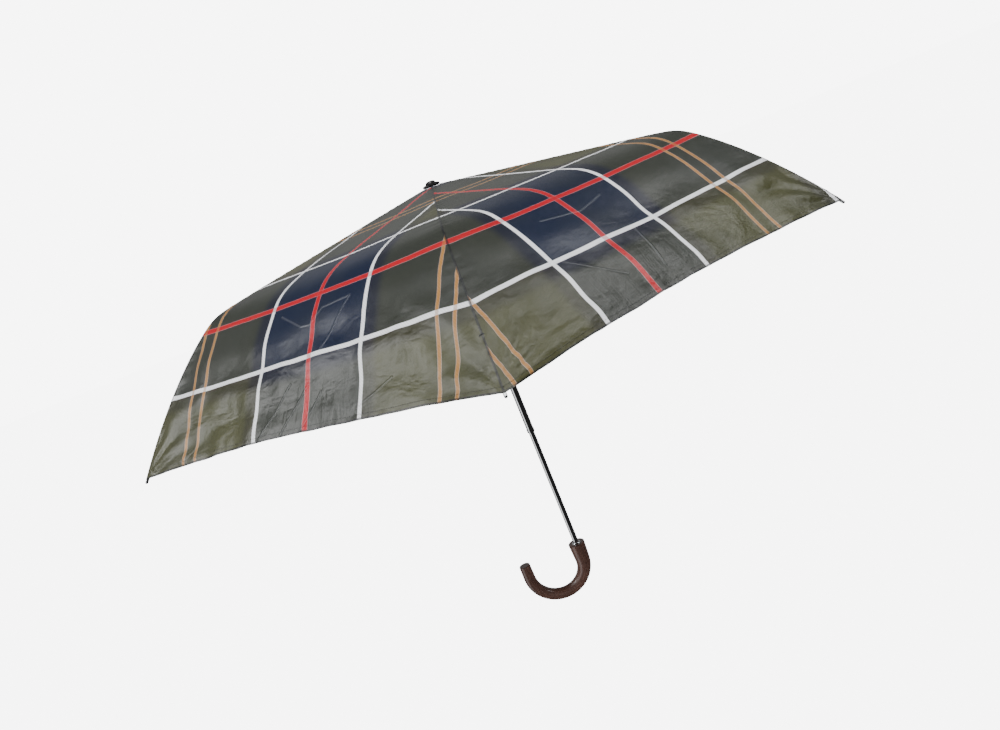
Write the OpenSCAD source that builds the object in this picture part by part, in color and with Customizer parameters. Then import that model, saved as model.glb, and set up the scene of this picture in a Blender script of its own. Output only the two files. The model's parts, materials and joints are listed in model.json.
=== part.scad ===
// Folding umbrella: six ribs in three folds, a three-piece telescopic shaft and a crook handle.
// The origin is on the shaft's axis at the handle's top, +Z runs up the shaft, and the canopy is open.

/* [Shaft] */
// Height of the canopy's peak over the handle's top
shaft_h = 555; // [535:1:700]
// Diameter of the upper tube, which the runner slides on
upper_d = 12; // [11.6:0.1:15]
// Diameter of the middle tube
middle_d = 10.2; // [9.8:0.1:10.2]
// Diameter of the lower tube
lower_d = 8.4; // [7:0.1:8.4]
// Wall of every tube
tube_wall = 0.6; // [0.4:0.05:0.6]
// Length of the lower tube that shows when it is pulled out
lower_show = 190; // [150:1:230]
// Length of the middle tube that shows when it is pulled out
middle_show = 160; // [125:1:195]
// Length that each tube keeps inside the next
tube_overlap = 14; // [12:1:20]

/* [Canopy] */
// Radius of the canopy at the rib tips
canopy_r = 470; // [440:1:570]
// Radius of the shoulder, where the skirt turns down
shoulder_r = 328; // [300:1:345]
// Fall of the crown for each millimetre outwards
crown_slope = 0.1475; // [0.12:0.0025:0.18]
// Fall of the skirt for each millimetre outwards, at the shoulder
skirt_slope = 0.655; // [0.5:0.005:0.8]
// How fast the skirt steepens, per millimetre
skirt_curve = 0.00206; // [0.0012:0.00002:0.0026]
// Height that the shoulder is rounded over, at a rib
shoulder_soft = 6; // [4:1:10]
// Height that the shoulder is rounded over, midway between two ribs
shoulder_soft_mid = 16; // [8:1:24]
// How far the hem is cut in, midway between two ribs
hem_rise = 6.5; // [2:0.5:16]
// Thickness of the cloth, measured straight down
cloth_t = 0.8; // [0.5:0.1:1.2]

/* [Ribs] */
// Distance from the upper tube's face out to the circle that the rib heads turn on
hinge_out = 3; // [2.8:0.1:4.5]
// Drop of the rib heads below the canopy's peak
hinge_drop = 8; // [7.5:0.5:11]
// Width of the inner and middle ribs
rib_w = 3; // [2.6:0.1:3.4]
// Height of the inner and middle ribs
rib_h = 2.6; // [2:0.1:2.8]
// Diameter of the round outer ribs
outer_d = 2.4; // [2:0.1:2.6]
// Angle that the outer rib bends through
outer_bend = 11; // [6:1:14]
// Offset of each knee's pin from the ribs' centre lines
knee_offset = 1.8; // [1.7:0.1:2.1]
// Drop of the inner rib's end below the cloth
knee_drop = 5; // [4.9:0.1:6.5]
// Drop of the middle rib's end below the cloth
shoulder_drop = 4.6; // [4.4:0.1:7]
// Distance of the outer rib's end from the cloth over it, square to the cloth
tip_drop = 2.4; // [2.3:0.1:3.2]

/* [Stretchers] */
// Distance of the stretcher's rivet from the rib head
stretcher_at = 80; // [70:1:85]
// Length of a stretcher between its two axes
stretcher_l = 84; // [83:1:90]
// Drop of the stretcher's rivet below the inner rib's centre line
stretcher_drop = 3.4; // [3.3:0.1:4.2]
// Thickness of the stretcher's blade
stretcher_w = 1.8; // [1.2:0.1:2]
// Distance from the upper tube's face out to the circle of the stretchers' feet
foot_out = 4; // [3.8:0.1:5]

/* [Runner] */
// Length of the runner
runner_l = 36; // [30:1:40]
// Height of the runner's slotted flange
flange_h = 8; // [7:0.5:10]

/* [Handle] */
// Length of the crook's long straight leg
leg_l = 26; // [20:1:40]
// Length of the crook's short straight leg
short_leg_l = 22; // [8:1:34]
// Radius of the crook's centre line
crook_r = 42; // [32:1:55]
// Diameter of the handle at its top
handle_top_d = 24.8; // [20.7:0.1:29.8]
// Diameter of the handle round the crook
handle_d = 20.6; // [17.2:0.1:24.7]
// Diameter of the handle at its end
handle_end_d = 17.2; // [14.4:0.1:20.6]

/* [Hidden] */
$fn = 48;
ribs = 6;
half = 180 / ribs;
first_rib = -90;
slip = 0.08;    // radial play of a part that slides on a shaft
play = 0.05;    // radial play of a pin in its eye
gap = 0.3;      // room left between faces that pass each other
peak_z = shaft_h;
tube_bore_r = [upper_d / 2 - tube_wall, middle_d / 2 - tube_wall, lower_d / 2 - tube_wall];

// Heights along the shaft
ferrule_h = 5;
middle_foot_z = lower_show;
upper_foot_z = lower_show + middle_show;
lower_top_z = lower_show + tube_overlap;
middle_top_z = upper_foot_z + tube_overlap;
hub_top_z = peak_z - hinge_drop + 4;
hub_foot_z = peak_z - hinge_drop - 5;
collar_h = 4;
collar_lip_h = 1.2;
collar_wall = 1;
pin_z = -10;
pin_r = 1;
tube_depth = 15;

// Where the ribs' bars end, back from a knee, and where the tie wire's pin goes through
bar_back = 3.1;
tie_back = 7;

// The frame of one rib: outward distance and height below the peak, with slopes positive downwards
hinge_r = upper_d / 2 + hinge_out;
foot_r = upper_d / 2 + foot_out;
head = [hinge_r, -hinge_drop];
knee_r = (hinge_r + shoulder_r + 5) / 2;
outer_knee_r = shoulder_r + 5;
inner_end = [knee_r, fall(knee_r, shoulder_soft) - knee_drop];
middle_end = [outer_knee_r, fall(outer_knee_r, shoulder_soft) - shoulder_drop];
rib_end_r = canopy_r - 2;
hem_slope = skirt_slope + 2 * skirt_curve * (rib_end_r - shoulder_r);
rib_end = [rib_end_r, fall(rib_end_r, shoulder_soft) - tip_drop * norm([1, hem_slope])];
inner_slope = slope_of(head, inner_end);
middle_slope = slope_of(inner_end, middle_end);
chord_slope = slope_of(middle_end, rib_end);
outer_slope = chord_slope - outer_bend / 2;
inner_l = norm(inner_end - head);
middle_l = norm(middle_end - inner_end);
outer_chord = norm(rib_end - middle_end);
outer_bend_r = outer_chord / 2 / sin(outer_bend / 2);
rod_from = asin(8 / outer_bend_r);
knee = inner_end + knee_offset * up_from(inner_slope);
outer_knee = knee + middle_l * along(middle_slope) - 2 * knee_offset * up_from(middle_slope);
tie_pin = head + (inner_l - tie_back) * along(inner_slope);
stretcher_top = head + stretcher_at * along(inner_slope) - stretcher_drop * up_from(inner_slope);
foot_reach = stretcher_top[0] - foot_r;
foot_drop = sqrt(stretcher_l * stretcher_l - foot_reach * foot_reach) - stretcher_top[1];
stretcher_slope = atan2(foot_drop + stretcher_top[1], foot_reach);
runner_top_z = peak_z - foot_drop + flange_h / 2;

// Small sizes of the frame's metalwork
eye_wall = 1.05;
head_wire_r = 0.5;
rivet_r = 0.85;
rivet_head_r = 1.35;
rivet_head_h = 0.45;
lug_w = 1.4;
ear_w = 0.7;
ear_span = (rib_w - stretcher_w) / 2 - 0.2;
ear_in = lug_w / 2 + 0.2;
ear_out = ear_in + ear_w;
tie_r = 0.5;
tie_y = 3.3;
tip_l = 10;
tip_d = 3.2;
hub_r = hinge_r + 2.5;
slot_w = 2.7;
head_w = 2;
flange_r = foot_r + 2.5;
sleeve_r = upper_d / 2 + 1.6;
grip_r = sleeve_r + 2.4;
grip_h = 8;
catch_r = 1.3;
catch_cap_r = 3;
catch_z = runner_top_z - 20;
catch_tip_r = upper_d / 2 + 0.35;
catch_travel = 1;
closed_slope = 86;
closed_top = head + stretcher_at * along(closed_slope) - stretcher_drop * up_from(closed_slope);
closed_reach = closed_top[0] - foot_r;
closed_foot_drop = sqrt(stretcher_l * stretcher_l - closed_reach * closed_reach) - closed_top[1];
runner_travel = closed_foot_drop - foot_drop;
tube_catch_r = 1.1;
tube_catch_in = 2;
tube_catch_room = 0.15;
cap_r = hub_r + 0.5;
cap_h = 5.6;
cap_stem_l = 8;
hole_r = upper_d / 2 + 0.5;

// Height of the cloth at a rib's radius r, below the peak; soft is the rounding of the shoulder
function fall(r, soft) =
    let (crown = crown_slope * r,
         out = r - shoulder_r,
         skirt = crown_slope * shoulder_r + skirt_slope * out + skirt_curve * pow(max(0, out), 2))
    soft * soft / (4 * (skirt_slope - crown_slope) * shoulder_r)
        - (crown + skirt + sqrt(pow(crown - skirt, 2) + soft * soft)) / 2;
function slope_of(a, b) = atan2(a[1] - b[1], b[0] - a[0]);
function along(slope) = [cos(slope), -sin(slope)];
function up_from(slope) = [sin(slope), cos(slope)];
function rib_angle(i) = first_rib + (i - 1) * 360 / ribs;

// A point of a gore: u runs from one rib, -1, to the next, 1, and r is the radius at the ribs
function cloth_point(u, r) =
    let (soft = shoulder_soft + (shoulder_soft_mid - shoulder_soft) * (1 - u * u))
    [r * cos(half), r * sin(half) * u, peak_z + fall(r, soft)];
function hem_r(u) = canopy_r - hem_rise * (1 - u * u);

// A closed patch of cloth on a gore, drop below its face, between two u and two shares of the way out
module cloth_patch(u_lo, u_hi, v_lo, v_hi, drop, thick, cols, rows) {
    u_at = [for (i = [0 : cols]) u_lo + (u_hi - u_lo) * i / cols];
    v_at = [for (j = [0 : rows]) v_lo + (v_hi - v_lo) * j / rows];
    face = [for (v = v_at, u = u_at) cloth_point(u, hole_r + (hem_r(u) - hole_r) * v) - [0, 0, drop]];
    n = len(face);
    w = cols + 1;
    corners = [for (j = [0 : rows - 1], i = [0 : cols - 1]) j * w + i];
    rim = concat([for (i = [0 : cols - 1]) i],
                 [for (j = [0 : rows - 1]) j * w + cols],
                 [for (i = [0 : cols - 1]) rows * w + cols - i],
                 [for (j = [0 : rows - 1]) (rows - j) * w]);
    polyhedron(
        concat(face, [for (p = face) p - [0, 0, thick]]),
        concat([for (c = corners) [c, c + 1, c + w + 1]],
               [for (c = corners) [c, c + w + 1, c + w]],
               [for (c = corners) [c + n, c + w + 1 + n, c + 1 + n]],
               [for (c = corners) [c + n, c + w + n, c + w + 1 + n]],
               [for (k = [0 : len(rim) - 1]) [rim[k], rim[k] + n, rim[(k + 1) % len(rim)] + n]],
               [for (k = [0 : len(rim) - 1]) [rim[k], rim[(k + 1) % len(rim)] + n, rim[(k + 1) % len(rim)]]]));
}

module canopy_gore(i) {
    color("#2a2f38")
    rotate([0, 0, rib_angle(i) + half])
    cloth_patch(-1, 1, 0, 1, 0, cloth_t, 6, 30);
}

// A strap sewn inside the hem of the gore behind, kept flat under the cloth
module closing_strap() {
    color("#1f2226")
    rotate([0, 0, rib_angle(4) + half])
    cloth_patch(-0.05, 0.05, 0.72, 0.985, cloth_t + 0.6, 1, 1, 8);
}

// Places what follows in the plane of rib i: X outwards, Z up from the peak, Y across the rib
module in_rib(i) {
    rotate([0, 0, rib_angle(i)])
    translate([0, 0, peak_z])
    children();
}

// Puts a rib's own frame at a point of its plane: X along the rib, Z out to the cloth
module rib_frame(p, slope) {
    translate([p[0], 0, p[1]])
    rotate([0, slope, 0])
    children();
}

// A cylinder across the rib, from one y to another
module across(r, y_lo, y_hi, x = 0, z = 0) {
    translate([x, y_hi, z])
    rotate([90, 0, 0])
    cylinder(r = r, h = y_hi - y_lo);
}

// A bar along the rib, with its section given by its limits
module bar(x_lo, x_hi, y_lo, y_hi, z_lo, z_hi) {
    translate([x_lo, y_lo, z_lo])
    cube([x_hi - x_lo, y_hi - y_lo, z_hi - z_lo]);
}

// A plate across the rib, from an outline in the rib's plane
module plate(y_lo, y_hi, outline) {
    translate([0, y_hi, 0])
    rotate([90, 0, 0])
    linear_extrude(y_hi - y_lo)
    polygon(outline);
}

// A lug that joins the end of a bar at x with an eye at a pin; side is 1 for a pin on the cloth's side
module lug(x, side, y_lo, y_hi, pin_r) {
    eye_r = pin_r + eye_wall;
    dir = x < 0 ? 1 : -1;
    difference() {
        union() {
            across(eye_r, y_lo, y_hi);
            plate(y_lo, y_hi, [
                [0, -side * eye_r],
                [x, -side * (knee_offset + rib_h / 2)],
                [x - dir * 3, -side * (knee_offset + rib_h / 2)],
                [x - dir * 3, -side * (knee_offset - rib_h / 2)],
                [x, -side * (knee_offset - rib_h / 2)],
                [0, side * eye_r]]);
        }
        across(pin_r + play, y_lo - 1, y_hi + 1);
    }
}

// A rivet through a knee, from ear to ear
module rivet(pin_r, reach) {
    across(pin_r, -reach, reach);
    across(rivet_head_r, reach, reach + rivet_head_h);
    across(rivet_head_r, -reach - rivet_head_h, -reach);
}

// The rivet's eye runs on its own play, so the rivet stands apart from both ribs
module inner_rib() {
    color("#17181a")
    rib_frame(head, inner_slope) {
        difference() {
            union() {
                bar(0, 12, -head_w / 2, head_w / 2, -rib_h / 2, rib_h / 2);
                across(head_wire_r + 0.15 + eye_wall, -head_w / 2, head_w / 2);
                bar(8, inner_l - bar_back, -rib_w / 2, rib_w / 2, -rib_h / 2, rib_h / 2);
                stretcher_ears();
            }
            across(head_wire_r + 0.15, -rib_w, rib_w);
            across(tie_r + play, -rib_w, rib_w, inner_l - tie_back, 0);
            across(rivet_r + play, -rib_w, rib_w, stretcher_at, -stretcher_drop);
        }
        translate([inner_l, 0, knee_offset])
        lug(-bar_back, 1, -lug_w / 2, lug_w / 2, rivet_r);
        translate([stretcher_at, 0, -stretcher_drop])
        rivet(rivet_r, rib_w / 2 + gap);
        translate([inner_l, 0, knee_offset])
        rivet(rivet_r, ear_out + 0.02);
    }
}

// The two ears under an inner rib that hold its stretcher
module stretcher_ears() {
    for (side = [-1, 1])
    translate([0, side * (rib_w / 2 + stretcher_w / 2 + 0.2) / 2, 0])
    plate(-ear_span / 2, ear_span / 2, [
        [stretcher_at - 4, 0],
        [stretcher_at - 1.6, -stretcher_drop - 1.6],
        [stretcher_at + 1.6, -stretcher_drop - 1.6],
        [stretcher_at + 4, 0]]);
}

module middle_rib() {
    color("#17181a")
    rib_frame(knee, middle_slope) {
        bar(bar_back, middle_l - bar_back, -rib_w / 2, rib_w / 2,
            -knee_offset - rib_h / 2, -knee_offset + rib_h / 2);
        for (y = [-ear_out, ear_in])
        lug(bar_back, 1, y, y + ear_w, rivet_r);
        translate([middle_l, 0, -2 * knee_offset]) {
            lug(-bar_back, -1, -lug_w / 2, lug_w / 2, rivet_r);
            rivet(rivet_r, ear_out + 0.02);
        }
    }
}

// The round rod starts inside its clevis block and bends down in one arc
module outer_rib() {
    color("#17181a")
    rib_frame(outer_knee, outer_slope) {
        bar(bar_back, 12, -ear_out, ear_out, knee_offset - rib_h / 2, knee_offset + rib_h / 2);
        for (y = [-ear_out, ear_in])
        lug(bar_back, -1, y, y + ear_w, rivet_r);
    }
    color("#17181a")
    rib_frame(middle_end, outer_slope)
    translate([0, 0, -outer_bend_r])
    rotate([90, 0, 0])
    rotate([0, 0, 90 - outer_bend])
    rotate_extrude(angle = outer_bend - rod_from, $fn = 96)
    translate([outer_bend_r, 0])
    circle(d = outer_d, $fn = 24);
}

module rib_tip() {
    color("silver")
    rib_frame(rib_end, outer_slope + outer_bend)
    rotate([0, 90, 0])
    difference() {
        union() {
            translate([0, 0, -tip_l / 2])
            cylinder(d = tip_d, h = tip_l - tip_d / 2);
            translate([0, 0, tip_l / 2 - tip_d / 2])
            sphere(d = tip_d);
        }
        translate([0, 0, -tip_l])
        cylinder(d = outer_d + 2 * play, h = tip_l + 0.4);
    }
}

// A blade with an eye at each end; its foot's eye stands clear of the runner's wire while it folds
module stretcher() {
    color("#17181a")
    rib_frame(stretcher_top, 180 - stretcher_slope)
    difference() {
        union() {
            bar(0, stretcher_l, -stretcher_w / 2, stretcher_w / 2, -1.2, 1.2);
            across(1.6, -stretcher_w / 2, stretcher_w / 2);
            across(1.6, -stretcher_w / 2, stretcher_w / 2, stretcher_l, 0);
        }
        across(rivet_r + play, -rib_w, rib_w);
        across(0.8, -rib_w, rib_w, stretcher_l, 0);
    }
}

// A wire whose bent end turns in the inner rib, and which runs beside the middle rib
module tie_wire() {
    color("silver")
    rib_frame(tie_pin, middle_slope) {
        across(tie_r, -rib_w / 2 - 0.4, tie_y + tie_r);
        translate([0, tie_y, 0])
        rotate([0, 90, 0])
        cylinder(r = tie_r, h = middle_l + tie_back - 6);
    }
}

module ring_wire(r, wire_r, z) {
    translate([0, 0, z])
    rotate_extrude($fn = 96)
    translate([r, 0])
    circle(r = wire_r, $fn = 24);
}

// Six slots for the rib heads, and a groove that the wire ring lies in
module crown_hub() {
    color("#141414")
    difference() {
        translate([0, 0, hub_foot_z])
        cylinder(r = hub_r, h = hub_top_z - hub_foot_z);
        translate([0, 0, hub_foot_z - 1])
        cylinder(r = upper_d / 2 + 0.1, h = hub_top_z - hub_foot_z + 2);
        for (i = [1 : ribs])
        rotate([0, 0, rib_angle(i)])
        translate([hinge_r - 1.9, -slot_w / 2, hub_foot_z - 1])
        cube([hub_r, slot_w, hub_top_z - hub_foot_z + 2]);
        ring_wire(hinge_r, head_wire_r + play, peak_z - hinge_drop);
    }
}

module crown_wire() {
    color("silver")
    ring_wire(hinge_r, head_wire_r, peak_z - hinge_drop);
}

// A low cap with a stem that plugs the upper tube
module top_cap() {
    foot = peak_z + 0.4;
    color("#0f0f10") {
        translate([0, 0, foot])
        rotate_extrude()
        polygon([
            [0, 0], [2, -0.3], [cap_r - 1.5, -crown_slope * cap_r], [cap_r, -crown_slope * cap_r + 0.3],
            [cap_r, 0], [cap_r * 0.93, cap_h * 0.2], [cap_r * 0.6, cap_h * 0.36],
            [cap_r * 0.52, cap_h * 0.74], [cap_r * 0.38, cap_h * 0.93], [0, cap_h]]);
        translate([0, 0, foot - cap_stem_l - 5])
        cylinder(r = tube_bore_r[0] - 0.1, h = cap_stem_l + 5.2);
    }
}

module tube(d, bore_r, z_lo, z_hi) {
    difference() {
        translate([0, 0, z_lo])
        cylinder(d = d, h = z_hi - z_lo);
        translate([0, 0, z_lo - 1])
        cylinder(r = bore_r, h = z_hi - z_lo + 2);
        children();
    }
}

// A round hole across one wall of a tube, at a height, on the +X side
module side_hole(r, z) {
    translate([0, 0, z])
    rotate([0, 90, 0])
    cylinder(r = r, h = upper_d);
}

module upper_tube() {
    color("silver")
    tube(upper_d, tube_bore_r[0], upper_foot_z, hub_top_z) {
        side_hole(catch_r + 0.3, catch_z);
        side_hole(catch_r + 0.3, catch_z - runner_travel);
    }
}

module middle_tube() {
    color("silver")
    tube(middle_d, tube_bore_r[1], middle_foot_z, middle_top_z)
    side_hole(tube_catch_r + play, middle_top_z - 6);
}

module lower_tube() {
    color("silver")
    tube(lower_d, tube_bore_r[2], -tube_depth, lower_top_z) {
        side_hole(tube_catch_r + play, lower_top_z - 6);
        pin_bore();
    }
}

// A guide ring at the foot of a tube, which runs on the smaller tube
module ferrule(d, inner_d, foot_z) {
    color("#c9ccd0")
    difference() {
        translate([0, 0, foot_z - ferrule_h])
        cylinder(d = d + 0.8, h = ferrule_h);
        translate([0, 0, foot_z - ferrule_h - 1])
        cylinder(r = inner_d / 2 + slip, h = ferrule_h + 2);
    }
}

// A sprung button in the top of a tube, which reaches nearly to the bore of the tube round it
module tube_catch(d, outer_bore_r, z) {
    foot = d / 2 - tube_catch_in;
    color("silver")
    translate([foot, 0, z])
    rotate([0, 90, 0])
    cylinder(r = tube_catch_r, h = outer_bore_r - tube_catch_room - foot);
}

// A sleeve with a slotted flange for the stretchers' feet and a finger ring at its foot
module runner() {
    foot_z = runner_top_z - runner_l;
    color("#141414")
    difference() {
        union() {
            translate([0, 0, foot_z])
            cylinder(r = sleeve_r, h = runner_l);
            translate([0, 0, runner_top_z - flange_h])
            cylinder(r = flange_r, h = flange_h);
            translate([0, 0, foot_z])
            cylinder(r = grip_r, h = grip_h);
        }
        translate([0, 0, foot_z - 1])
        cylinder(r = upper_d / 2 + slip, h = runner_l + 2);
        for (i = [1 : ribs])
        rotate([0, 0, rib_angle(i)])
        translate([sleeve_r, -slot_w / 2, runner_top_z - flange_h - 1])
        cube([flange_r, slot_w, flange_h + 2]);
        ring_wire(foot_r, head_wire_r + play, peak_z - foot_drop);
        side_hole(catch_r + 0.1, catch_z);
    }
}

// The wire of the runner's feet, kept in the flange between the slots
module runner_wire() {
    cut = asin((slot_w / 2 + 0.1) / foot_r);
    color("silver")
    for (i = [1 : ribs])
    rotate([0, 0, rib_angle(i) + cut])
    translate([0, 0, peak_z - foot_drop])
    rotate_extrude(angle = 360 / ribs - 2 * cut, $fn = 96)
    translate([foot_r, 0])
    circle(r = head_wire_r, $fn = 24);
}

// The press button that frees the runner, with its stem short of the tube
module runner_catch() {
    cap_at = sleeve_r + catch_travel + gap;
    color("#141414")
    translate([0, 0, catch_z])
    rotate([0, 90, 0]) {
        translate([0, 0, catch_tip_r])
        cylinder(r = catch_r, h = cap_at - catch_tip_r + 0.5);
        translate([0, 0, cap_at])
        cylinder(r1 = catch_cap_r, r2 = catch_cap_r - 0.6, h = 1.4);
    }
}

module pin_bore() {
    translate([-handle_top_d, 0, pin_z])
    rotate([0, 90, 0])
    cylinder(r = pin_r + play, h = 2 * handle_top_d);
}

// The crook curves towards -X
module crook_handle() {
    color("#4a2c22")
    difference() {
        union() {
            translate([0, 0, -leg_l])
            cylinder(d1 = handle_d, d2 = handle_top_d, h = leg_l);
            translate([-crook_r, 0, -leg_l])
            rotate([-90, 0, 0])
            rotate_extrude(angle = 180, $fn = 96)
            translate([crook_r, 0])
            circle(d = handle_d);
            translate([-2 * crook_r, 0, -leg_l])
            cylinder(d1 = handle_d, d2 = handle_end_d, h = short_leg_l);
        }
        translate([0, 0, -tube_depth - 1])
        cylinder(r = lower_d / 2 + play, h = tube_depth + 2);
        translate([0, 0, -collar_h])
        cylinder(r = lower_d / 2 + collar_wall + play, h = collar_h + 1);
        pin_bore();
    }
}

// A bright bush where the tube enters the handle
module handle_collar() {
    color("silver")
    difference() {
        union() {
            translate([0, 0, -collar_h + 0.1])
            cylinder(r = lower_d / 2 + collar_wall, h = collar_h);
            translate([0, 0, 0.05])
            cylinder(r1 = lower_d / 2 + 2.4, r2 = lower_d / 2 + 1.5, h = collar_lip_h);
        }
        translate([0, 0, -collar_h - 1])
        cylinder(r = lower_d / 2 + play, h = 2 * collar_h + 3);
    }
}

// The pin runs in the crook's plane, with its ends sunk in the wood
module handle_pin() {
    color("silver")
    translate([-handle_d / 2 - 0.2, 0, pin_z])
    rotate([0, 90, 0])
    cylinder(r = pin_r, h = handle_d + 0.4);
}

crook_handle();
handle_collar();
handle_pin();
lower_tube();
tube_catch(lower_d, tube_bore_r[1], lower_top_z - 6);  // lower_catch
ferrule(middle_d, lower_d, middle_foot_z);  // middle_ferrule
middle_tube();
tube_catch(middle_d, tube_bore_r[0], middle_top_z - 6);  // middle_catch
ferrule(upper_d, middle_d, upper_foot_z);  // upper_ferrule
upper_tube();
crown_hub();
crown_wire();
top_cap();
runner();
runner_wire();
runner_catch();
closing_strap();
for (i = [1 : ribs]) {
    canopy_gore(i);
    in_rib(i) inner_rib();
    in_rib(i) stretcher();
    in_rib(i) middle_rib();
    in_rib(i) tie_wire();
    in_rib(i) outer_rib();
    in_rib(i) rib_tip();
}
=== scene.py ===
import json
import math

import bpy
import numpy as np
from mathutils import Matrix, Vector


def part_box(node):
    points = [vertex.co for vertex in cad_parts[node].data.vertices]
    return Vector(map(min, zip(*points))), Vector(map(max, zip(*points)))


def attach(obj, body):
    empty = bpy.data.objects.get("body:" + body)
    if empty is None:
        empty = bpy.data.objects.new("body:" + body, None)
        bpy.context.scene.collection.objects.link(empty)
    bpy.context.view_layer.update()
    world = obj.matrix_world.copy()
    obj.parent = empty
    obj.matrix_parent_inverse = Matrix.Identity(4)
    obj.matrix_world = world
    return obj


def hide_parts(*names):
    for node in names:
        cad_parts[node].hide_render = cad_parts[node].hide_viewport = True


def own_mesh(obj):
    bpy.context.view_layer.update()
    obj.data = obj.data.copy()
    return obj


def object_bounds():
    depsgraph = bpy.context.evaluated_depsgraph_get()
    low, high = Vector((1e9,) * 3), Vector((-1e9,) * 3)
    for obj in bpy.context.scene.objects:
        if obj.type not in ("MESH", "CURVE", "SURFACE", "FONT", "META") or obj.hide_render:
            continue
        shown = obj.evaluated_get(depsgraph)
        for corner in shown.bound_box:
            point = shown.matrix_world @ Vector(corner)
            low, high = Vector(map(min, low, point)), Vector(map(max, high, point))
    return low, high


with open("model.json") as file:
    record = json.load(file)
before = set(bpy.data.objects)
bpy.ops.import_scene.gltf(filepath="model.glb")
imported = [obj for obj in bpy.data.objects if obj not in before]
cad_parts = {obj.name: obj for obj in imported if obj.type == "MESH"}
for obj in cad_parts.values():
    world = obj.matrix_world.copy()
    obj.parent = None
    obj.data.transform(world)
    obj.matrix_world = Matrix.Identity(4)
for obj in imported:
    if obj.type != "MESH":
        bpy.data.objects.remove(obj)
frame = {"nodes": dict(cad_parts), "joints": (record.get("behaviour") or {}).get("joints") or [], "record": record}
cad_low, cad_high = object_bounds()

# ---------------------------------------------------------------- sizes, in metres
RIBS = 6
HALF = math.pi / RIBS
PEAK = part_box("canopy_gore_1")[1].z
TIP_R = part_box("canopy_gore_3")[1].y
HOLE_R = 0.0065
SHOULDER_R = 0.328
CROWN_SLOPE = 0.1475
SKIRT_SLOPE = 0.655
SKIRT_CURVE = 2.06
SOFT_RIB = 0.006
SOFT_MID = 0.016
HEM_RISE = 0.0065
CLOTH_T = 0.0003
HEM_T = 0.0009
HEM_W = 0.006
SEAM_W = 0.004
JOINTS = {j["name"]: j for j in frame["joints"]}


def rib_angle(i):
    """Direction of rib i, counted from 1, with rib 1 pointing to -Y."""
    return math.radians(-90 + (i - 1) * 360 / RIBS)


def radius_of(joint):
    """Distance of a hinge from the shaft's axis."""
    x, y, _ = JOINTS[joint]["pos_m"]
    return math.hypot(x, y)


KNEE_R = radius_of("knee_hinge_1")
ELBOW_R = radius_of("shoulder_hinge_1")


# ---------------------------------------------------------------- materials
class Value:
    """One socket of a material's nodes; arithmetic on it adds Math nodes."""

    def __init__(self, kit, socket):
        self.kit = kit
        self.socket = socket

    def math(self, operation, *others):
        return self.kit.node("ShaderNodeMath", {"operation": operation}, [self, *others])

    def __add__(self, other):
        return self.math("ADD", other)

    def __sub__(self, other):
        return self.math("SUBTRACT", other)

    def __mul__(self, other):
        return self.math("MULTIPLY", other)

    def __truediv__(self, other):
        return self.math("DIVIDE", other)

    def __rsub__(self, other):
        return self.kit.node("ShaderNodeMath", {"operation": "SUBTRACT"}, [other, self])

    __radd__ = __add__
    __rmul__ = __mul__

    def step(self, low, high):
        """0 below low and 1 above high, smooth between them; the other way round if low is above high."""
        ends = [self, low, high, 0.0, 1.0] if low < high else [self, high, low, 1.0, 0.0]
        return self.kit.node("ShaderNodeMapRange", {"interpolation_type": "SMOOTHSTEP"}, ends)

    def line(self, centre, half_width, soft):
        """1 on a line round centre, and 0 off it."""
        return (self - centre).math("ABSOLUTE").step(half_width + soft, half_width - soft)


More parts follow.
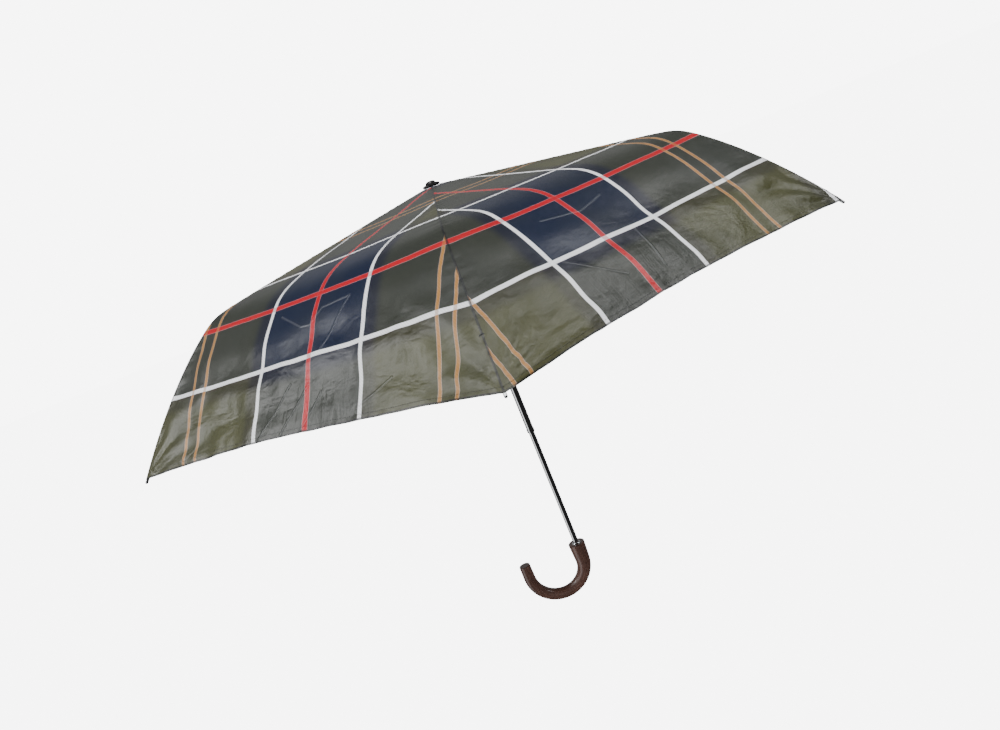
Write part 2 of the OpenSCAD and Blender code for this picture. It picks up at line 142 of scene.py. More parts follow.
class Nodes:
    """The nodes of one tree, a material's or the world's."""

    def __init__(self, tree):
        self.tree = tree

    def node(self, kind, settings=None, inputs=(), out=0):
        made = self.tree.nodes.new(kind)
        for key, value in (settings or {}).items():
            setattr(made, key, value)
        pairs = inputs.items() if isinstance(inputs, dict) else enumerate(inputs)
        for key, value in pairs:
            self.join(value, made.inputs[key])
        return Value(self, made.outputs[out])

    def join(self, value, socket):
        if isinstance(value, Value):
            self.tree.links.new(value.socket, socket)
        else:
            socket.default_value = value

    def mix(self, share, a, b, blend="MIX"):
        """Colour a, turning to b as share goes to 1."""
        settings = {"data_type": "RGBA", "blend_type": blend}
        return self.node("ShaderNodeMix", settings, {0: share, 6: a, 7: b}, out=2)

    def uv(self, name):
        return self.node("ShaderNodeUVMap", {"uv_map": name})

    def place(self):
        return self.node("ShaderNodeTexCoord", out=3)

    def split(self, vector):
        made = self.node("ShaderNodeSeparateXYZ", None, [vector]).socket.node
        return [Value(self, made.outputs[k]) for k in range(3)]

    def scaled(self, vector, scale):
        return self.node("ShaderNodeMapping", None, {0: vector, 3: scale})

    def noise(self, vector, scale, detail=3.0, rough=0.5, distortion=0.0):
        ends = {"Vector": vector, "Scale": scale, "Detail": detail, "Roughness": rough,
                "Distortion": distortion}
        return self.node("ShaderNodeTexNoise", None, ends)

    def vector(self, operation, ends, out=0):
        return self.node("ShaderNodeVectorMath", {"operation": operation}, ends, out)

    def stroke(self, at, a, b):
        """Distance from the flat line between points a and b."""
        way = (b[0] - a[0], b[1] - a[1], 0.0)
        length_squared = way[0] ** 2 + way[1] ** 2
        rel = self.vector("SUBTRACT", [at, (a[0], a[1], 0.0)])
        share = self.vector("DOT_PRODUCT", [rel, way], out=1) / length_squared
        share = share.math("MAXIMUM", 0.0).math("MINIMUM", 1.0)
        foot = self.vector("SCALE", {0: way, "Scale": share})
        return self.vector("DISTANCE", [rel, foot], out=1)

    def bands(self, vector, scale, **more):
        """Fine diagonal bands, as of a twill."""
        settings = {"wave_type": "BANDS", "bands_direction": "DIAGONAL"}
        return self.node("ShaderNodeTexWave", settings, {"Vector": vector, "Scale": scale, **more})

    def bump(self, height, distance, strength=1.0, normal=None):
        ends = {"Strength": strength, "Distance": distance, "Height": height}
        if normal is not None:
            ends["Normal"] = normal
        return self.node("ShaderNodeBump", None, ends)


class Kit(Nodes):
    """The nodes of one material, round a Principled shader."""

    def __init__(self, name, **fixed):
        self.material = bpy.data.materials.new(name)
        self.material.use_nodes = True
        super().__init__(self.material.node_tree)
        self.shader = self.tree.nodes["Principled BSDF"]
        self.feed(**fixed)

    def feed(self, **values):
        """Sets or links sockets of the shader, whose names have _ for a space."""
        for key, value in values.items():
            self.join(value, self.shader.inputs[key.replace("_", " ")])
        return self.material


def tint(code):
    """A linear colour from a hexadecimal one."""
    parts = [int(code[k:k + 2], 16) / 255 for k in (0, 2, 4)]
    return tuple(p / 12.92 if p < 0.04045 else ((p + 0.055) / 1.055) ** 2.4 for p in parts) + (1.0,)


# ---------------------------------------------------------------- tartan cloth
# The sett repeats every REPEAT checks and is the same both ways from the red line at 0
REPEAT = 5.0
CHECK_ACROSS = 0.0677
CHECK_UP = 0.0729
# Places of the red lines: up from the hem, and across each gore from its middle
RED_UP = 0.1594
RED_ACROSS = [-0.043, 0.034, -0.020, 0.012, -0.030, 0.0105]
STITCH = 0.0028

# Sharp creases of gores, bumped into the cloth and painted lighter along their lines as a painted highlight, in
# the Fold map's checks: gore, then points across from the red line and up from it
CREASES = [
    (6, (-0.74, -0.21), (-0.25, -0.50), (-0.06, -0.51), (0.14, -0.29), (0.68, -0.24)),
    (6, (0.68, -0.24), (0.21, -0.95)),
    (6, (-0.95, -2.10), (-0.32, -1.35)),
    (6, (-0.55, -2.15), (0.02, -1.40)),
    (6, (-0.12, -2.10), (0.26, -1.55)),
    (6, (0.95, -1.90), (1.55, -1.62)),
    (1, (-0.85, -1.05), (-0.20, -1.62)),
    (1, (-0.55, -0.30), (0.10, -0.42), (0.62, -0.28)),
    (1, (0.55, -1.05), (0.42, -1.75)),
    (2, (-0.60, -0.35), (0.10, -0.80)),
    (3, (-0.20, -1.10), (0.55, -1.75)),
    (4, (-0.90, -1.30), (-0.25, -0.70)),
    (5, (0.15, -0.40), (0.75, -1.05)),
]
# How far apart the gores lie in the Fold map, in checks
FOLD_STEP = 20.0


def tartan_cloth():
    k = Kit("tartan_cloth", Specular_IOR_Level=0.5)
    place = k.uv("Sett")
    fold_at = k.uv("Fold")
    across, up, _ = k.split(place)
    rib_gap, hem_gap, _ = k.split(k.uv("Edges"))

    def ground(d):
        """Blue round the red line, then plum, then olive."""
        plum = d.step(0.98, 1.08)
        olive = d.step(1.16, 1.34)
        colour = k.mix(plum, tint("0d1830"), tint("201e20"))
        return k.mix(olive, colour, tint("3f4024"))

    def folded(along):
        """Distance, in checks, from the nearest red line."""
        return ((along + REPEAT / 2).math("FLOORED_MODULO", REPEAT) - REPEAT / 2).math("ABSOLUTE")

    def stripes(d):
        """(mask, colour) of the lines that cross one way."""
        red = d.line(0.0, 0.044, 0.006)
        white = d.line(1.0, 0.035, 0.006)
        tan = d.line(2.36, 0.029, 0.006) + (d - 2.64).math("ABSOLUTE").step(0.034, 0.024)
        colour = k.mix(red, tint("f6f7fa"), tint("b4061a"))
        colour = k.mix(tan.math("MINIMUM", 1.0), colour, tint("a5743c"))
        return (red + white + tan).math("MINIMUM", 1.0), colour

    d_across = folded(across)
    d_up = folded(up)
    base = k.mix(0.5, ground(d_across), ground(d_up))
    cloudy = k.noise(fold_at, 0.9, 2.0, 0.5)
    base = k.mix(cloudy.step(0.40, 0.75) * 0.3, base, tint("262a29"))
    yarn = k.bands(place, 14.0, Distortion=0.6, Detail=1.0)
    mask_a, colour_a = stripes(d_across)
    mask_u, colour_u = stripes(d_up)
    cover = 0.84 + yarn * 0.14
    base = k.mix(mask_a * cover, base, colour_a)
    base = k.mix(mask_u * (1.0 - mask_a * 0.5) * cover, base, colour_u)
    crease_and_highlight = None
    for gore, *points in CREASES:
        for a, b in zip(points, points[1:]):
            mark = k.stroke(fold_at, (a[0] + FOLD_STEP * gore, a[1]), (b[0] + FOLD_STEP * gore, b[1]))
            crease_and_highlight = mark if crease_and_highlight is None else crease_and_highlight.math("MINIMUM", mark)
    crease_and_highlight = crease_and_highlight.step(0.026, 0.004)
    # Painted highlight: the cloth is painted a lighter grey along each crease, standing in for light caught by the
    # fold
    base = k.mix(crease_and_highlight * 0.12, base, tint("8c8f92"))
    seam = rib_gap.step(0.0018, 0.0008)
    hem = hem_gap.step(0.0022, 0.0014)
    base = k.mix(seam.math("MAXIMUM", hem) * 0.8, base, tint("15171a"))
    stitch_phase = (across * CHECK_ACROSS / STITCH).math("FRACT")
    stitch = hem_gap.line(0.0052, 0.0003, 0.0001) * stitch_phase.step(0.30, 0.34)
    base = k.mix(stitch * 0.6, base, tint("0e1013"))

    skirt = hem_gap.step(0.125, 0.070)
    broad = k.noise(fold_at, 0.55, 1.0, 0.4)
    rumple = k.noise(k.scaled(fold_at, (1.2, 2.2, 1.0)), 1.3, 3.0, 0.5, 0.4) * (skirt * 0.9 + 0.1)
    low = hem_gap.step(0.075, 0.015)
    middle = across.math("ABSOLUTE").step(1.5, 0.5)
    slanted = k.node("ShaderNodeMapping", None, {0: fold_at, 2: (0.0, 0.0, -0.6), 3: (5.5, 1.1, 1.0)})
    crinkle = k.noise(slanted, 1.3, 3.0, 0.6, 0.5) * low * (middle * 0.8 + 0.2)
    weave = k.bands(place, 60.0)
    normal = k.bump(broad, 0.004, 0.5)
    normal = k.bump(rumple, 0.0048, 0.6, normal)
    normal = k.bump(crinkle, 0.0018, 0.5, normal)
    normal = k.bump(crease_and_highlight, 0.0005, 0.7, normal)
    normal = k.bump(weave, 0.00005, 0.4, normal)
    normal = k.bump(stitch, 0.0003, 0.6, normal)
    rough = 0.32 + cloudy * 0.08
    return k.feed(Base_Color=base, Roughness=rough, Normal=normal)


def chrome():
    k = Kit("tube_chrome", Metallic=1.0)
    place = k.place()
    streak = k.noise(k.scaled(place, (900.0, 900.0, 12.0)), 1.0, 2.0)
    smear = k.noise(place, 60.0, 3.0)
    colour = k.mix(smear * 0.3, tint("dfe1e3"), tint("b9bcc0"))
    normal = k.bump(streak, 0.00002, 0.3)
    return k.feed(Base_Color=colour, Roughness=0.07 + smear * 0.08, Normal=normal)


def bright_metal(name, shade):
    k = Kit(name, Metallic=1.0)
    place = k.place()
    smear = k.noise(place, 160.0, 3.0)
    pits = k.noise(place, 2500.0, 2.0)
    colour = k.mix(smear * 0.4, tint(shade), tint("8f9296"))
    return k.feed(Base_Color=colour, Roughness=0.16 + smear * 0.14, Normal=k.bump(pits, 0.00003, 0.3))


def steel_wire():
    k = Kit("steel_wire", Metallic=1.0)
    place = k.place()
    drawn = k.noise(place, 700.0, 2.0)
    colour = k.mix(drawn * 0.5, tint("b4b6b8"), tint("83868a"))
    return k.feed(Base_Color=colour, Roughness=0.28 + drawn * 0.1, Normal=k.bump(drawn, 0.00003, 0.4))


def black_steel():
    k = Kit("black_steel", Coat_Roughness=0.2)
    place = k.place()
    peel = k.noise(place, 900.0, 2.0)
    worn = k.noise(place, 90.0, 4.0, 0.7).step(0.66, 0.74)
    colour = k.mix(worn * 0.35, tint("17181a"), tint("3f4144"))
    return k.feed(Base_Color=colour, Roughness=0.32 + peel * 0.12, Coat_Weight=0.35 - worn * 0.2,
                  Normal=k.bump(peel, 0.00004, 0.5))


def black_plastic():
    k = Kit("black_plastic")
    place = k.place()
    grain = k.noise(place, 2200.0, 2.0)
    scuff = k.noise(place, 130.0, 4.0, 0.7)
    colour = k.mix(scuff * 0.4, tint("0d0d0e"), tint("1e1f21"))
    return k.feed(Base_Color=colour, Roughness=0.30 + scuff * 0.16, Normal=k.bump(grain, 0.00004, 0.5))


def handle_wood():
    """Stained wood whose grain runs round the crook; Grain holds length and girth, in metres."""
    k = Kit("handle_wood", Coat_Roughness=0.18, Specular_IOR_Level=0.5)
    grain_at = k.uv("Grain")
    wander = k.noise(k.scaled(grain_at, (18.0, 60.0, 1.0)), 1.0, 3.0, 0.5, 0.6)
    fibre = k.noise(k.scaled(grain_at, (40.0, 1500.0, 1.0)), 1.0, 4.0, 0.6, 0.4)
    pores = k.noise(k.scaled(grain_at, (260.0, 3200.0, 1.0)), 1.0, 2.0).step(0.60, 0.70)
    colour = k.mix(fibre.step(0.3, 0.7), tint("47302a"), tint("6b4a3e"))
    colour = k.mix(wander.step(0.35, 0.7) * 0.55, colour, tint("38241e"))
    colour = k.mix(pores * 0.3, colour, tint("2a1a16"))
    normal = k.bump(fibre, 0.00004, 0.3)
    normal = k.bump(pores, 0.00005, 0.3, normal)
    return k.feed(Base_Color=colour, Roughness=0.34 + fibre * 0.08, Coat_Weight=0.45 + wander * 0.15,
                  Normal=normal)


def strap_cloth():
    k = Kit("strap_cloth", Sheen_Weight=0.1)
    place = k.place()
    rib = k.bands(place, 900.0)
    cloud = k.noise(place, 90.0)
    colour = k.mix(cloud, tint("14161a"), tint("24272b"))
    return k.feed(Base_Color=colour, Roughness=0.5 + cloud * 0.1, Normal=k.bump(rib, 0.0001, 0.4))


def thread():
    k = Kit("thread", Roughness=0.6)
    place = k.place()
    ply = k.bands(place, 1400.0)
    colour = k.mix(ply, tint("15171b"), tint("2a2d31"))
    return k.feed(Base_Color=colour, Normal=k.bump(ply, 0.0001, 0.5))


FINISHES = {
    "tartan_cloth": tartan_cloth(),
    "strap_cloth": strap_cloth(),
    "handle_wood": handle_wood(),
    "tube_chrome": chrome(),
    "bright_metal": bright_metal("bright_metal", "d8dadc"),
    "black_plastic": black_plastic(),
    "black_steel": black_steel(),
    "tip_metal": bright_metal("tip_metal", "c9cbce"),
    "steel_wire": steel_wire(),
}
THREAD = thread()
SLOT_OF = {s["node"]: s["material_slot"] for s in frame["record"]["subparts"]}


def finish_with(obj, slot):
    """Gives a piece the finish of a material slot."""
    obj.data.materials.clear()
    obj.data.materials.append(FINISHES[slot])


for name, obj in frame["nodes"].items():
    obj.data.materials.clear()
    obj.data.materials.append(FINISHES[SLOT_OF[name]])

bpy.ops.object.select_all(action="DESELECT")


# ---------------------------------------------------------------- the canopy's cloth
COLUMNS = 46
ROWS = [32, 34, 46]
PARTS = ["inner", "middle", "outer"]
KNEE_SQUARE = 1.0
ELBOW_SQUARE = 0.25
# Half of the hem's length between two ribs
HEM_HALF = TIP_R * math.sin(HALF)


def fall(r, soft):
    """Height of the cloth below its peak, at radius r of the ribs."""
    crown = CROWN_SLOPE * r
    out = r - SHOULDER_R
    skirt = CROWN_SLOPE * SHOULDER_R + SKIRT_SLOPE * out + SKIRT_CURVE * np.maximum(out, 0) ** 2
    settle = soft ** 2 / (4 * (SKIRT_SLOPE - CROWN_SLOPE) * SHOULDER_R)
    return settle - (crown + skirt + np.sqrt((crown - skirt) ** 2 + soft ** 2)) / 2


def ripple(a, b, seed, size, terms=9):
    """Smooth noise about as wide as size, from -1 to 1."""
    rng = np.random.RandomState(seed)
    total = np.zeros_like(a)
    for _ in range(terms):
        angle, phase, scale = rng.uniform(0, math.tau), rng.uniform(0, math.tau), rng.uniform(0.6, 1.6)
        wave = scale * math.tau / size
        total += np.sin(wave * (a * math.cos(angle) + b * math.sin(angle)) + phase)
    return total / math.sqrt(terms * 2.0)


def flat_lengths():
    """Radii, and the cloth's flat length from the peak to each along a gore's middle."""
    r = np.linspace(0, TIP_R, 600)
    z = fall(r, SOFT_MID)
    steps = np.hypot(np.diff(r) * math.cos(HALF), np.diff(z))
    return r, np.concatenate([[0], np.cumsum(steps)])


FLAT_R, FLAT_S = flat_lengths()
GORE_L = float(FLAT_S[-1])


def cut_at(knee_r, u, square):
    """Radii of a cut across a gore at a knee; it leaves both ribs square where square is 1."""
    return knee_r / (1 - square * math.sin(HALF) ** 2 * (1 - np.abs(u)))


def hem_at(u):
    """Radius of the hem, which rises a little between the ribs."""
    return TIP_R - HEM_RISE * (1 - u ** 2)


def gore_rows(u):
    """(inner radii, outer radii, rows) of each of the gore's three parts, at columns u."""
    knee, elbow = cut_at(KNEE_R, u, KNEE_SQUARE), cut_at(ELBOW_R, u, ELBOW_SQUARE)
    cuts = [np.full_like(u, HOLE_R), knee, elbow, hem_at(u)]
    return [(cuts[k], cuts[k + 1], ROWS[k]) for k in range(3)]


def wrinkles(gore, across, up, r, u):
    """Height of the gore's wrinkles over its smooth face, from the flat place of each point."""
    edge = r * math.sin(HALF) * (1 - np.abs(u))
    pinned = 1 - np.exp(-edge / 0.012)
    skirt = 1 / (1 + np.exp(-(r - 0.374) / 0.014))
    hem = np.exp(-((up / 0.065) ** 2))
    # Slack between the ribs
    height = 0.0026 * pinned * (0.25 + 0.75 * skirt) * ripple(across, up, 10 + gore, 0.17)
    height += 0.0008 * pinned * (0.05 + 0.95 * skirt) * ripple(across * 1.6, up, 30 + gore, 0.06)
    # Folds along the hem
    bands = math.tau * up / 0.060 + 0.9 + 1.3 * ripple(across, up * 0.5, 20 + gore, 0.20)
    height += 0.0011 * pinned * skirt * np.sin(bands)
    # Puckers at the seams
    pucker = np.exp(-edge / 0.009) * (1 - np.exp(-edge / 0.0015))
    height += 0.0006 * pucker * np.sin(math.tau * up / 0.013 + 2.0 * ripple(up, up, 50 + gore, 0.06))
    # Folds that fan out from the rib tips
    for side in (-1, 1):
        away = np.hypot(across - side * HEM_HALF, up)
        turn = np.arctan2(up, side * HEM_HALF - across + 1e-6)
        fan = np.exp(-away / 0.075) * (1 - np.exp(-away / 0.018))
        height += 0.0024 * fan * pinned * np.sin(15 * turn + gore + 2 * ripple(across, up, 70 + gore, 0.12))
    # The hem turned under, and small ridges up from it
    rolled = (hem_at(u) - r) / 0.009
    height -= (0.0030 if gore == 1 else 0.0012) * (1 - u ** 4) * np.exp(-rolled ** 2)
    rng = np.random.RandomState(90 + gore)
    for _ in range(12):
        at = rng.uniform(-0.12, 0.12)
        lean = rng.uniform(-0.35, 0.35)
        width = rng.uniform(0.003, 0.007)
        rise = rng.uniform(-0.0011, 0.0012)
        height += rise * hem * np.exp(-(((across - at - lean * up) / width) ** 2))
    return height


def middle_angle(gore):
    """Direction of a gore's middle."""
    return rib_angle(gore) + HALF


def spin_to(gore):
    """The turn about the shaft that takes +X to a gore's middle."""
    c, s = math.cos(middle_angle(gore)), math.sin(middle_angle(gore))
    return np.array([[c, -s, 0], [s, c, 0], [0, 0, 1]])


def gore_grid(gore, u):
    """Points, normals, sett coordinates and edge distances of a gore's face, at columns u."""
    blocks = []
    for low, high, n in gore_rows(u):
        t = np.linspace(0, 1, n + 1)[:, None]
        block = low + (high - low) * t
        blocks.append(block[1:] if blocks else block)
    r = np.concatenate(blocks)
    uu = np.broadcast_to(u[None, :], r.shape)
    soft = SOFT_RIB + (SOFT_MID - SOFT_RIB) * (1 - uu ** 2)
    x, y, z = r * math.cos(HALF), r * math.sin(HALF) * uu, PEAK + fall(r, soft)
    across = y.copy()
    up = GORE_L - np.interp(r, FLAT_R, FLAT_S)
    p = np.stack([x, y, z], -1)
    n = grid_normals(p)
    p = p + n * wrinkles(gore, across, up, r, uu)[..., None]
    n = grid_normals(p)
    hem_up = GORE_L - np.interp(hem_at(uu), FLAT_R, FLAT_S)
    sett = np.stack([(across - RED_ACROSS[gore - 1]) / CHECK_ACROSS, (up - RED_UP) / CHECK_UP], -1)
    edges = np.stack([r * math.sin(HALF) * (1 - np.abs(uu)), up - hem_up], -1)
    spin = spin_to(gore)
    return p @ spin.T, n @ spin.T, sett, edges


def grid_normals(p):
    """Upward normals of a grid of points, rows running outwards."""
    down = np.gradient(p, axis=0)
    side = np.gradient(p, axis=1)
    n = np.cross(down, side)
    n /= np.linalg.norm(n, axis=-1, keepdims=True)
    return n * np.sign(n[..., 2:3])


def cloth_piece(name, gore, p, n, sett, edges, thick=None):
    """A closed thin sheet from a block of a gore's grid, with the gore's own smooth normals."""
    rows, cols = p.shape[:2]
    if thick is None:
        hem = (edges[..., 1:2] < HEM_W) | (edges[..., 0:1] < SEAM_W)
        thick = CLOTH_T + (HEM_T - CLOTH_T) * hem
    top, under = p.reshape(-1, 3), (p - n * thick).reshape(-1, 3)
    count = rows * cols
    index = np.arange(count).reshape(rows, cols)
    quads = np.stack([index[:-1, :-1], index[1:, :-1], index[1:, 1:], index[:-1, 1:]], -1).reshape(-1, 4)
    rim = np.concatenate([index[0, :], index[1:, -1], index[-1, -2::-1], index[-2:0:-1, 0]])
    after = np.roll(rim, -1)
    walls = np.stack([rim, after, after + count, rim + count], -1)
    faces = np.concatenate([quads, quads[:, ::-1] + count, walls])
    mesh = bpy.data.meshes.new(name)
    mesh.from_pydata(np.concatenate([top, under]).tolist(), [], faces.tolist())
    mesh.validate()
    corner = np.empty(len(mesh.loops), np.int32)
    mesh.loops.foreach_get("vertex_index", corner)
    fold = sett + np.array([FOLD_STEP * gore, 0.0])
    for label, flat in (("Sett", sett), ("Edges", edges), ("Fold", fold)):
        layer = mesh.uv_layers.new(name=label)
        layer.data.foreach_set("uv", flat.reshape(-1, 2)[corner % count].ravel())
    mesh.polygons.foreach_set("use_smooth", np.ones(len(mesh.polygons), bool))
    normals = np.concatenate([n.reshape(-1, 3), -n.reshape(-1, 3)])
    mesh.normals_split_custom_set_from_vertices(normals.tolist())
    obj = bpy.data.objects.new(name, mesh)
    bpy.context.scene.collection.objects.link(obj)
    return obj


def face_area(p):
    """Area of a grid of points."""
    a = np.cross(p[1:, :-1] - p[:-1, :-1], p[1:, 1:] - p[:-1, :-1])
    b = np.cross(p[1:, 1:] - p[:-1, :-1], p[:-1, 1:] - p[:-1, :-1])
    return float((np.linalg.norm(a, axis=-1) + np.linalg.norm(b, axis=-1)).sum() / 2)


def make_canopy():
    """Each gore is cut at its middle and at the knees, so that the cloth can fold with its ribs."""
    u = np.sin(np.linspace(-1, 1, 2 * COLUMNS + 1) * math.pi / 2)
    u = 0.5 * u + 0.5 * np.linspace(-1, 1, 2 * COLUMNS + 1)
    ends = np.concatenate([[0], np.cumsum(ROWS)])
    for gore in range(1, RIBS + 1):
        p, n, sett, edges = gore_grid(gore, u)
        for side, rib, cols, edge_col in (
            ("left", gore, slice(0, COLUMNS + 1), 0),
            ("right", gore % RIBS + 1, slice(COLUMNS, None), -1),
        ):
            for k, part in enumerate(PARTS):
                block = slice(ends[k], ends[k + 1] + 1)
                args = [a[block, cols] for a in (p, n, sett, edges)]
                piece = cloth_piece(f"cloth_{part}_{gore}_{side}", gore, *args)
                finish_with(piece, "tartan_cloth")
                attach(piece, f"{part}_rib_{rib}")
                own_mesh(piece)
                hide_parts(f"canopy_gore_{gore}")
                checks = np.ptp(args[2].reshape(-1, 2), axis=0)
                size = (float(checks[0]) * CHECK_ACROSS, float(checks[1]) * CHECK_UP)
                min(face_area(args[0]), size[0] * size[1])


make_canopy()


# ---------------------------------------------------------------- turned and swept pieces
def ring(radius, at, sides):
    """Starts a piece: a circle in edit mode, all of it selected."""
    bpy.ops.object.select_all(action="DESELECT")
    bpy.ops.mesh.primitive_circle_add(vertices=sides, radius=radius, location=at)
    bpy.ops.object.transform_apply(location=True)
    bpy.ops.object.mode_set(mode="EDIT")
    bpy.ops.mesh.select_all(action="SELECT")
    return bpy.context.object


def grow(move, size, pivot):
    bpy.ops.mesh.extrude_region_move(TRANSFORM_OT_translate={"value": move})
    bpy.ops.transform.resize(value=(size, size, size), center_override=pivot)


def close_piece(obj, name, slot, body, bevel=0.0):
    """Leaves edit mode, mends the normals, rounds the edges and fixes the piece to its body."""
    bpy.ops.mesh.select_all(action="SELECT")
    bpy.ops.mesh.normals_make_consistent(inside=False)
    bpy.ops.object.mode_set(mode="OBJECT")
    obj.name = name
    if bevel:
        round_off = obj.modifiers.new("round", "BEVEL")
        round_off.width = bevel
        round_off.segments = 3
        round_off.limit_method = "ANGLE"
        round_off.angle_limit = math.radians(40)
        bpy.ops.object.modifier_apply(modifier="round")
    bpy.ops.object.shade_smooth_by_angle(angle=math.radians(35))
    finish_with(obj, slot)
    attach(obj, body)
    return obj


def turned(name, slot, body, rings, sides=64):
    """A closed piece turned on the shaft's axis from rings of (radius, height)."""
    (r0, z0), rest = rings[0], rings[1:]
    obj = ring(r0, (0, 0, z0), sides)
    bpy.ops.mesh.edge_face_add()
    for r, z in rest:
        grow((0, 0, z - z0), r / r0, (0, 0, z))
        r0, z0 = r, z
    return close_piece(obj, name, slot, body)


CROOK_R = 0.042
LEG = 0.026
SHORT_LEG = 0.022
# Radius of the handle at its top, and how much thinner each stretch leaves it
TOP_GIRTH = 0.0124
LEG_THINS = 0.0013
BEND_THINS = 0.0024
END_THINS = 0.0004
BORE_R = 0.0054
BORE_DEPTH = 0.004
MEAN_GIRTH = 0.0095


def make_crook():
    """The handle: rings of changing girth down the long leg, round the crook and up the short leg."""
    steps = []
    for k in range(1, 9):
        t = k / 8
        steps.append(((0, 0, -LEG * t), 0.0, TOP_GIRTH - LEG_THINS * t))
    for k in range(1, 49):
        t = k / 48
        girth = TOP_GIRTH - LEG_THINS - BEND_THINS * (1 - (1 - min(1.0, t / 0.6)) ** 2)
        steps.append((None, math.pi * t, girth))
    for k in range(1, 7):
        t = k / 6
        girth = TOP_GIRTH - LEG_THINS - BEND_THINS - END_THINS * t
        steps.append(((-2 * CROOK_R, 0, -LEG + SHORT_LEG * t), math.pi, girth))
    obj = ring(TOP_GIRTH, (0, 0, 0), 48)
    at, turn, girth = Vector((0, 0, 0)), 0.0, TOP_GIRTH
    for place, angle, wide in steps:
        if place is None:
            place = (-CROOK_R + CROOK_R * math.cos(angle), 0, -LEG - CROOK_R * math.sin(angle))
        place = Vector(place)
        bpy.ops.mesh.extrude_region_move(TRANSFORM_OT_translate={"value": place - at})
        if angle != turn:
            bpy.ops.transform.rotate(value=turn - angle, orient_axis="Y", center_override=place)
        bpy.ops.transform.resize(value=(wide / girth,) * 3, center_override=place)
        at, turn, girth = place, angle, wide
    bpy.ops.mesh.edge_face_add()
    bpy.ops.mesh.inset(thickness=0.0012)
    bpy.ops.mesh.select_all(action="SELECT")
    bpy.ops.mesh.region_to_loop()
    bpy.ops.mesh.extrude_region_move(TRANSFORM_OT_translate={"value": (0, 0, 0)})
    bpy.ops.transform.resize(value=(BORE_R / TOP_GIRTH,) * 3, center_override=(0, 0, 0))
    bpy.ops.mesh.extrude_region_move(TRANSFORM_OT_translate={"value": (0, 0, -BORE_DEPTH)})
    obj = close_piece(obj, "crook", "handle_wood", "handle", bevel=0.0009)
    add_grain(obj)
    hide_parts("crook_handle")


def add_grain(obj):
    """UV map Grain: length along the handle, and the way round it, both in metres."""
    layer = obj.data.uv_layers.new(name="Grain")
    co = np.empty(len(obj.data.vertices) * 3)
    obj.data.vertices.foreach_get("co", co)
    co = co.reshape(-1, 3)
    angle = np.arctan2(-(co[:, 2] + LEG), co[:, 0] + CROOK_R)
    bent = co[:, 2] < -LEG
    right = co[:, 0] > -CROOK_R
    arc = LEG + CROOK_R * angle
    long = np.where(bent, arc, np.where(right, -co[:, 2], LEG + math.pi * CROOK_R + co[:, 2] + LEG))
    out = np.where(bent, np.hypot(co[:, 0] + CROOK_R, co[:, 2] + LEG), np.abs(co[:, 0] + CROOK_R)) - CROOK_R
    girth = MEAN_GIRTH * np.arctan2(co[:, 1], out)
    corner = np.empty(len(obj.data.loops), np.int32)
    obj.data.loops.foreach_get("vertex_index", corner)
    layer.data.foreach_set("uv", np.stack([long, girth], -1)[corner].ravel())


def make_cap():
    top = PEAK + 0.0004
    rings = [(0.0040, top - 0.0008), (0.0105, top - 0.0017), (0.0117, top - 0.0014), (0.0120, top - 0.0006),
             (0.0118, top + 0.0004), (0.0108, top + 0.0012), (0.0078, top + 0.0019), (0.0068, top + 0.0026),
             (0.0063, top + 0.0039), (0.0054, top + 0.0049), (0.0034, top + 0.0055), (0.0010, top + 0.0056)]
    obj = turned("peak_cap", "black_plastic", "upper_tube", rings)
    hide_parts("top_cap")


STRAP_GORE = 4
STRAP_W = 0.021
STRAP_T = 0.0012
STRAP_FROM_R = 0.352
STRAP_TO_R = TIP_R - HEM_RISE - 0.004
# How far the strap and the ties hang under the cloth's upper face
UNDER_CLOTH = 0.0042


def make_strap():
    """The closing strap, kept flat under the cloth behind."""
    u = np.linspace(-1, 1, 9)[None, :]
    t = np.linspace(0, 1, 40)[:, None]
    r = STRAP_FROM_R + (STRAP_TO_R - STRAP_FROM_R) * t + 0 * u
    taper = np.minimum(1.0, 0.55 + 6 * t)
    side = STRAP_W / 2 * taper * u
    share = side / (r * math.sin(HALF))
    soft = SOFT_RIB + (SOFT_MID - SOFT_RIB) * (1 - share ** 2)
    z = PEAK + fall(r, soft) - UNDER_CLOTH - 0.0008 * np.sin(9 * t)
    p = np.stack([r * math.cos(HALF), side, z], -1)
    n = grid_normals(p)
    spin = spin_to(STRAP_GORE)
    p, n = p @ spin.T, n @ spin.T
    edges = np.stack([STRAP_W / 2 * (1 - np.abs(u)) + 0 * t, 0.5 + 0 * (t + u)], -1)
    sett = np.stack([side, r], -1)
    strap = cloth_piece("strap", STRAP_GORE, p, n, sett, edges, thick=STRAP_T)
    finish_with(strap, "strap_cloth")
    rib = STRAP_GORE + 1
    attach(strap, f"outer_rib_{rib}")
    first, last = (Vector(v) for v in outer_rib_line(rib))
    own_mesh(strap)
    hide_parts("closing_strap")
    # The taper takes half a millimetre off the mean width
    length = face_area(p) / (STRAP_W - 0.0005)


def outer_rib_line(rib):
    """Both ends of an outer rib, on the cloth over it."""
    x, y = math.cos(rib_angle(rib)), math.sin(rib_angle(rib))
    return [(r * x, r * y, PEAK + float(fall(r, SOFT_RIB))) for r in (ELBOW_R, TIP_R)]


TIE_R = 0.0030
TIE_THREAD_R = 0.0004
TIES_AT = {"inner": (0.085,), "middle": (0.215, 0.270), "outer": (0.385, 0.430)}


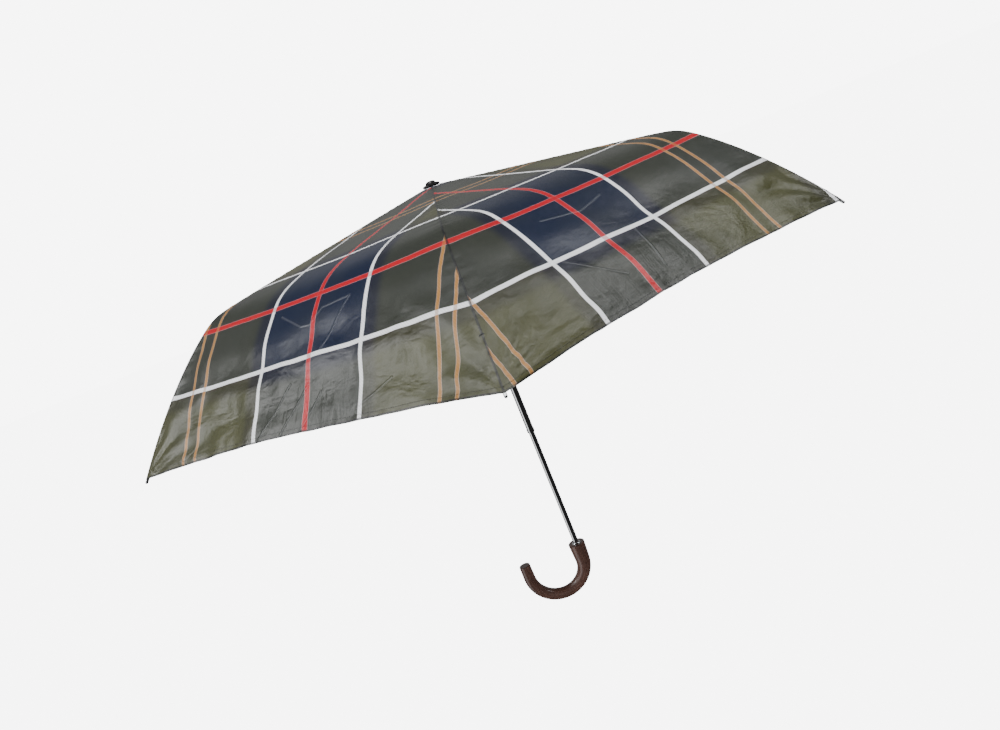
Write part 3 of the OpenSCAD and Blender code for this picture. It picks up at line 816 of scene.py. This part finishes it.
def make_ties():
    """Loops of thread that sew the cloth to the ribs."""
    for rib in range(1, RIBS + 1):
        for part, radii in TIES_AT.items():
            loops = []
            for r in radii:
                turn = rib_angle(rib)
                z = PEAK + float(fall(r, SOFT_RIB)) - UNDER_CLOTH
                slope = float(fall(r + 0.001, SOFT_RIB) - fall(r - 0.001, SOFT_RIB)) / 0.002
                bpy.ops.object.select_all(action="DESELECT")
                bpy.ops.mesh.primitive_torus_add(
                    major_radius=TIE_R, minor_radius=TIE_THREAD_R, major_segments=20, minor_segments=6,
                    location=(r * math.cos(turn), r * math.sin(turn), z),
                    rotation=(0, math.pi / 2 - math.atan(slope), turn))
                loops.append(bpy.context.object)
            for obj in loops:
                obj.select_set(True)
            bpy.context.view_layer.objects.active = loops[0]
            if len(loops) > 1:
                bpy.ops.object.join()
            bpy.ops.object.transform_apply(location=True, rotation=True, scale=True)
            tie = bpy.context.object
            tie.name = f"ties_{part}_{rib}"
            bpy.ops.object.shade_smooth()
            tie.data.materials.clear()
            tie.data.materials.append(THREAD)
            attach(tie, f"{part}_rib_{rib}")


make_crook()
make_cap()
make_strap()
make_ties()
bpy.ops.object.select_all(action="DESELECT")


# ---------------------------------------------------------------- floor, light and camera
# Brightness of the floor and the world to the camera alone, which makes them white
WHITE = 7.0
FLOOR_DROP = 0.35


def add_floor():
    """A pale floor that the camera sees as white, and that isn't mirrored in the object."""
    bpy.ops.mesh.primitive_plane_add(size=40, location=(0, 0, cad_low.z - FLOOR_DROP))
    floor = bpy.context.object
    floor.name = "floor"
    k = Kit("floor_paper", Roughness=0.9)
    soft = k.noise(k.place(), 0.8)
    k.feed(Base_Color=k.mix(soft * 0.1, tint("f4f4f4"), tint("ececec")))
    glow = k.node("ShaderNodeEmission", None, {"Strength": WHITE})
    seen = k.node("ShaderNodeLightPath")
    either = k.node("ShaderNodeMixShader", None, [seen, Value(k, k.shader.outputs[0]), glow])
    k.join(either, k.tree.nodes["Material Output"].inputs[0])
    floor.data.materials.append(k.material)
    floor.visible_glossy = False


def add_world():
    """White where the camera sees it; to the object it is a dim room with a bright wall on its left."""
    world = bpy.data.worlds.new("studio")
    world.use_nodes = True
    k = Nodes(world.node_tree)
    way_x, way_y, way_z = k.split(k.node("ShaderNodeTexCoord"))
    wall = way_x.line(-0.80, 0.14, 0.08) * way_y.step(0.1, -0.2) * 1.6
    backdrop = way_y.step(0.25, 0.6) * way_z.step(0.62, 0.42) * 0.34
    room = wall + backdrop + way_z.step(-0.1, 0.1) * 0.08 + 0.02
    seen = k.node("ShaderNodeLightPath")
    background = k.tree.nodes["Background"]
    background.inputs["Color"].default_value = (1, 1, 1, 1)
    k.join(room + seen * WHITE, background.inputs["Strength"])
    bpy.context.scene.world = world


def add_lights():
    """Two tall boxes that the skirt mirrors, and soft fills from above and in front."""
    for name, place, wide, high, power, aim, shines in (
        ("left_box", (-1.36, -0.42, 1.34), 0.42, 1.0, 10, (-0.20, -0.35, 0.42), True),
        ("right_box", (1.28, -0.52, 1.48), 0.42, 1.1, 11, (0.25, -0.35, 0.42), True),
        ("top_fill", (0.0, -0.9, 2.2), 1.2, 1.2, 34, (0, 0, 0.45), True),
        ("front_fill", (0.05, -2.3, 0.3), 1.4, 1.4, 24, (0, 0, 0.30), False),
    ):
        light = bpy.data.lights.new(name, "AREA")
        light.shape = "RECTANGLE"
        light.size = wide
        light.size_y = high
        light.energy = power
        obj = bpy.data.objects.new(name, light)
        obj.location = place
        obj.visible_glossy = shines
        obj.rotation_mode = "QUATERNION"
        obj.rotation_quaternion = (Vector(place) - Vector(aim)).to_track_quat("Z", "Y")
        bpy.context.scene.collection.objects.link(obj)


def add_camera():
    """The camera stands in front, level with the canopy, looks a little down and is rolled clockwise."""
    data = bpy.data.cameras.new("camera")
    data.sensor_width = 36
    data.lens = 27.93
    data.clip_end = 100
    right = Vector((0.92766, -0.05886, -0.36878))
    up = Vector((0.37283, 0.20297, 0.90543))
    back = right.cross(up).normalized()
    up = back.cross(right)
    camera = bpy.data.objects.new("camera", data)
    camera.matrix_world = Matrix.Translation((0.0181, -1.0627, PEAK - 0.0332)) @ Matrix(
        (right, up, back)).transposed().to_4x4()
    bpy.context.scene.collection.objects.link(camera)
    bpy.context.scene.camera = camera


add_floor()
add_world()
add_lights()
add_camera()
